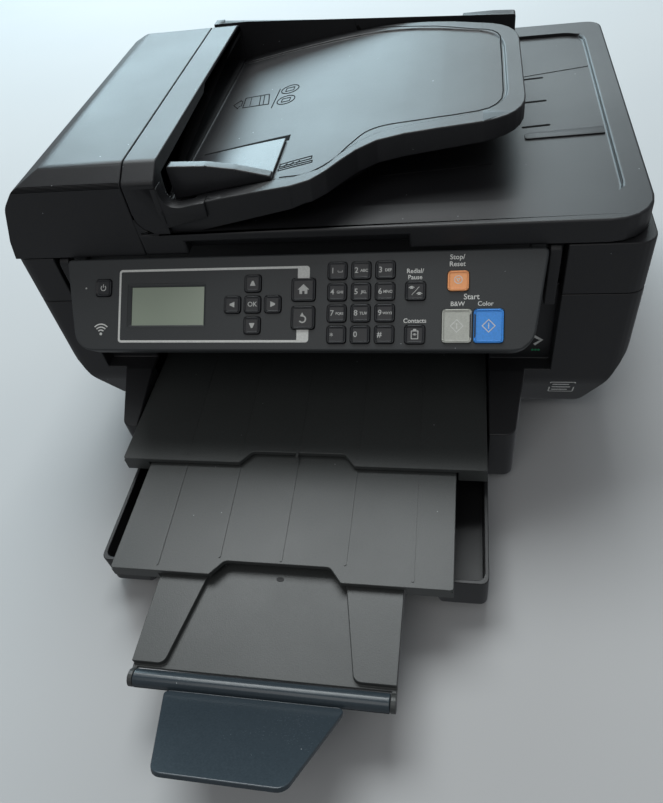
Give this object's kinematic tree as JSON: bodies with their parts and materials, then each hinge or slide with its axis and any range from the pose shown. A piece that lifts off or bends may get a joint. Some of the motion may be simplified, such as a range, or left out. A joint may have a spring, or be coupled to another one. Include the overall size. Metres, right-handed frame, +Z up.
{
  "type": "inkjet printer with document feeder",
  "caption": "Office inkjet printer with flatbed scanner, sheet document feeder, tilting key panel with display, telescopic output tray with stop flap and sliding paper cassette.",
  "frame": {"origin": "centre of the bounding box footprint, on the table plane under the feet", "axes": "+Z up; -Y towards the user, the way the control panel and the paper trays face; +X to the user's right"},
  "size_m": [0.425, 0.5965, 0.228],
  "materials": {
    "black_plastic": "fine spark-eroded grain",
    "inner_plastic": "smooth moulding",
    "panel_plastic": "very fine grain",
    "tray_plastic": "fine grain",
    "stop_plastic": "polished",
    "rubber": "matt",
    "key_black": "satin",
    "key_orange": "satin",
    "key_grey": "satin",
    "key_blue": "satin",
    "steel": "drawn rod",
    "glass": "polished float glass",
    "lcd": "clear window over a grey-green display",
    "foam": "white pressed foam"
  },
  "bodies": {
    "printer": {"left_case": "black_plastic", "right_case": "black_plastic", "base_pan": "inner_plastic", "front_fascia": "black_plastic", "rear_case": "black_plastic", "foot_front_left": "rubber", "foot_front_right": "rubber", "foot_back_left": "rubber", "foot_back_right": "rubber", "carriage_rail": "steel"},
    "panel": {"control_panel": "panel_plastic", "lcd_window": "lcd"},
    "scanner": {"scanner_base": "black_plastic", "scanner_glass": "glass"},
    "scan_carriage": {"scan_bar": "inner_plastic"},
    "lid": {"document_cover": "black_plastic", "document_mat": "foam", "feeder_frame": "black_plastic"},
    "feeder_lid": {"feeder_cover": "black_plastic"},
    "document_guide": {"feeder_guide": "black_plastic"},
    "pick_roller": {"feeder_roller": "rubber"},
    "carriage": {"print_carriage": "inner_plastic", "ink_cartridge_black": "inner_plastic", "ink_cartridge_cyan": "inner_plastic", "ink_cartridge_magenta": "inner_plastic", "ink_cartridge_yellow": "inner_plastic"},
    "paper_roller": {"feed_roller": "rubber"},
    "duplexer": {"rear_duplexer": "inner_plastic"},
    "tray_one": {"output_tray": "tray_plastic"},
    "tray_two": {"tray_extension": "tray_plastic"},
    "tray_three": {"tray_end": "tray_plastic"},
    "stop_flap": {"paper_stop": "stop_plastic"},
    "cassette": {"paper_cassette": "black_plastic"},
    "guide_left": {"cassette_guide_left": "black_plastic"},
    "guide_right": {"cassette_guide_right": "black_plastic"},
    "key_1": {"key_1": "key_black"},
    "key_2": {"key_2": "key_black"},
    "key_3": {"key_3": "key_black"},
    "key_4": {"key_4": "key_black"},
    "key_5": {"key_5": "key_black"},
    "key_6": {"key_6": "key_black"},
    "key_7": {"key_7": "key_black"},
    "key_8": {"key_8": "key_black"},
    "key_9": {"key_9": "key_black"},
    "key_star": {"key_star": "key_black"},
    "key_0": {"key_0": "key_black"},
    "key_hash": {"key_hash": "key_black"},
    "key_power": {"key_power": "key_black"},
    "key_up": {"key_up": "key_black"},
    "key_left": {"key_left": "key_black"},
    "key_ok": {"key_ok": "key_black"},
    "key_right": {"key_right": "key_black"},
    "key_down": {"key_down": "key_black"},
    "key_home": {"key_home": "key_black"},
    "key_back": {"key_back": "key_black"},
    "key_redial": {"key_redial": "key_black"},
    "key_contacts": {"key_contacts": "key_black"},
    "key_stop": {"key_stop": "key_orange"},
    "key_start_mono": {"key_start_mono": "key_grey"},
    "key_start_colour": {"key_start_colour": "key_blue"}
  },
  "joints": [
    {"name": "panel_tilt", "type": "hinge", "parent": "printer", "child": "panel", "pos_m": [0, -0.00379, 0.16368], "axis": [1, 0, 0], "range_deg": [0, 50]},
    {"name": "scanner_lift", "type": "hinge", "parent": "printer", "child": "scanner", "pos_m": [0, 0.29126, 0.1301], "axis": [-1, 0, 0], "range_deg": [0, 30]},
    {"name": "scan_travel", "type": "slide", "parent": "scanner", "child": "scan_carriage", "axis": [1, 0, 0], "range_m": [0, 0.3]},
    {"name": "lid_lift", "type": "hinge", "parent": "scanner", "child": "lid", "pos_m": [0, 0.29176, 0.168], "axis": [-1, 0, 0], "range_deg": [0, 80]},
    {"name": "feeder_cover_lift", "type": "hinge", "parent": "lid", "child": "feeder_lid", "pos_m": [-0.2088, 0, 0.169], "axis": [0, -1, 0], "range_deg": [0, 80]},
    {"name": "document_guide_slide", "type": "slide", "parent": "lid", "child": "document_guide", "axis": [0, 1, 0], "range_m": [0, 0.068]},
    {"name": "pick_roller_spin", "type": "hinge", "parent": "lid", "child": "pick_roller", "pos_m": [-0.1388, 0, 0.207], "axis": [0, 1, 0], "continuous": true},
    {"name": "carriage_travel", "type": "slide", "parent": "printer", "child": "carriage", "axis": [-1, 0, 0], "range_m": [0, 0.31]},
    {"name": "paper_roller_spin", "type": "hinge", "parent": "printer", "child": "paper_roller", "pos_m": [0, 0.16026, 0.078], "axis": [1, 0, 0], "continuous": true},
    {"name": "duplexer_pull", "type": "slide", "parent": "printer", "child": "duplexer", "axis": [0, 1, 0], "range_m": [0, 0.12]},
    {"name": "output_tray_slide", "type": "slide", "parent": "printer", "child": "tray_one", "axis": [0, 1, 0], "range_m": [0, 0.022]},
    {"name": "tray_extension_slide", "type": "slide", "parent": "tray_one", "child": "tray_two", "axis": [0, 1, 0], "range_m": [0, 0.082]},
    {"name": "tray_end_slide", "type": "slide", "parent": "tray_two", "child": "tray_three", "axis": [0, 1, 0], "range_m": [0, 0.05]},
    {"name": "paper_stop_fold", "type": "hinge", "parent": "tray_three", "child": "stop_flap", "pos_m": [0, -0.24224, 0.0371], "axis": [1, 0, 0], "range_deg": [-146, 0]},
    {"name": "cassette_slide", "type": "slide", "parent": "printer", "child": "cassette", "axis": [0, 1, 0], "range_m": [-0.2, 0.09]},
    {"name": "cassette_guide_right_slide", "type": "slide", "parent": "cassette", "child": "guide_right", "axis": [-1, 0, 0], "range_m": [0, 0.063]},
    {"name": "cassette_guide_left_slide", "type": "slide", "parent": "cassette", "child": "guide_left", "axis": [1, 0, 0], "range_m": [0, 0.063]},
    {"name": "key_1_press", "type": "slide", "parent": "panel", "child": "key_1", "axis": [0, 0.6428, -0.766], "range_m": [0, 0.001], "stiffness_N_per_m": 400},
    {"name": "key_2_press", "type": "slide", "parent": "panel", "child": "key_2", "axis": [0, 0.6428, -0.766], "range_m": [0, 0.001], "stiffness_N_per_m": 400},
    {"name": "key_3_press", "type": "slide", "parent": "panel", "child": "key_3", "axis": [0, 0.6428, -0.766], "range_m": [0, 0.001], "stiffness_N_per_m": 400},
    {"name": "key_4_press", "type": "slide", "parent": "panel", "child": "key_4", "axis": [0, 0.6428, -0.766], "range_m": [0, 0.001], "stiffness_N_per_m": 400},
    {"name": "key_5_press", "type": "slide", "parent": "panel", "child": "key_5", "axis": [0, 0.6428, -0.766], "range_m": [0, 0.001], "stiffness_N_per_m": 400},
    {"name": "key_6_press", "type": "slide", "parent": "panel", "child": "key_6", "axis": [0, 0.6428, -0.766], "range_m": [0, 0.001], "stiffness_N_per_m": 400},
    {"name": "key_7_press", "type": "slide", "parent": "panel", "child": "key_7", "axis": [0, 0.6428, -0.766], "range_m": [0, 0.001], "stiffness_N_per_m": 400},
    {"name": "key_8_press", "type": "slide", "parent": "panel", "child": "key_8", "axis": [0, 0.6428, -0.766], "range_m": [0, 0.001], "stiffness_N_per_m": 400},
    {"name": "key_9_press", "type": "slide", "parent": "panel", "child": "key_9", "axis": [0, 0.6428, -0.766], "range_m": [0, 0.001], "stiffness_N_per_m": 400},
    {"name": "key_star_press", "type": "slide", "parent": "panel", "child": "key_star", "axis": [0, 0.6428, -0.766], "range_m": [0, 0.001], "stiffness_N_per_m": 400},
    {"name": "key_0_press", "type": "slide", "parent": "panel", "child": "key_0", "axis": [0, 0.6428, -0.766], "range_m": [0, 0.001], "stiffness_N_per_m": 400},
    {"name": "key_hash_press", "type": "slide", "parent": "panel", "child": "key_hash", "axis": [0, 0.6428, -0.766], "range_m": [0, 0.001], "stiffness_N_per_m": 400},
    {"name": "key_power_press", "type": "slide", "parent": "panel", "child": "key_power", "axis": [0, 0.6428, -0.766], "range_m": [0, 0.001], "stiffness_N_per_m": 400},
    {"name": "key_up_press", "type": "slide", "parent": "panel", "child": "key_up", "axis": [0, 0.6428, -0.766], "range_m": [0, 0.001], "stiffness_N_per_m": 400},
    {"name": "key_left_press", "type": "slide", "parent": "panel", "child": "key_left", "axis": [0, 0.6428, -0.766], "range_m": [0, 0.001], "stiffness_N_per_m": 400},
    {"name": "key_ok_press", "type": "slide", "parent": "panel", "child": "key_ok", "axis": [0, 0.6428, -0.766], "range_m": [0, 0.001], "stiffness_N_per_m": 400},
    {"name": "key_right_press", "type": "slide", "parent": "panel", "child": "key_right", "axis": [0, 0.6428, -0.766], "range_m": [0, 0.001], "stiffness_N_per_m": 400},
    {"name": "key_down_press", "type": "slide", "parent": "panel", "child": "key_down", "axis": [0, 0.6428, -0.766], "range_m": [0, 0.001], "stiffness_N_per_m": 400},
    {"name": "key_home_press", "type": "slide", "parent": "panel", "child": "key_home", "axis": [0, 0.6428, -0.766], "range_m": [0, 0.001], "stiffness_N_per_m": 400},
    {"name": "key_back_press", "type": "slide", "parent": "panel", "child": "key_back", "axis": [0, 0.6428, -0.766], "range_m": [0, 0.001], "stiffness_N_per_m": 400},
    {"name": "key_redial_press", "type": "slide", "parent": "panel", "child": "key_redial", "axis": [0, 0.6428, -0.766], "range_m": [0, 0.001], "stiffness_N_per_m": 400},
    {"name": "key_contacts_press", "type": "slide", "parent": "panel", "child": "key_contacts", "axis": [0, 0.6428, -0.766], "range_m": [0, 0.001], "stiffness_N_per_m": 400},
    {"name": "key_stop_press", "type": "slide", "parent": "panel", "child": "key_stop", "axis": [0, 0.6428, -0.766], "range_m": [0, 0.001], "stiffness_N_per_m": 400},
    {"name": "key_start_mono_press", "type": "slide", "parent": "panel", "child": "key_start_mono", "axis": [0, 0.6428, -0.766], "range_m": [0, 0.001], "stiffness_N_per_m": 400},
    {"name": "key_start_colour_press", "type": "slide", "parent": "panel", "child": "key_start_colour", "axis": [0, 0.6428, -0.766], "range_m": [0, 0.001], "stiffness_N_per_m": 400}
  ],
  "couplings": [
    {"joint": "cassette_guide_left_slide", "follows": "cassette_guide_right_slide", "ratio": 1}
  ]
}
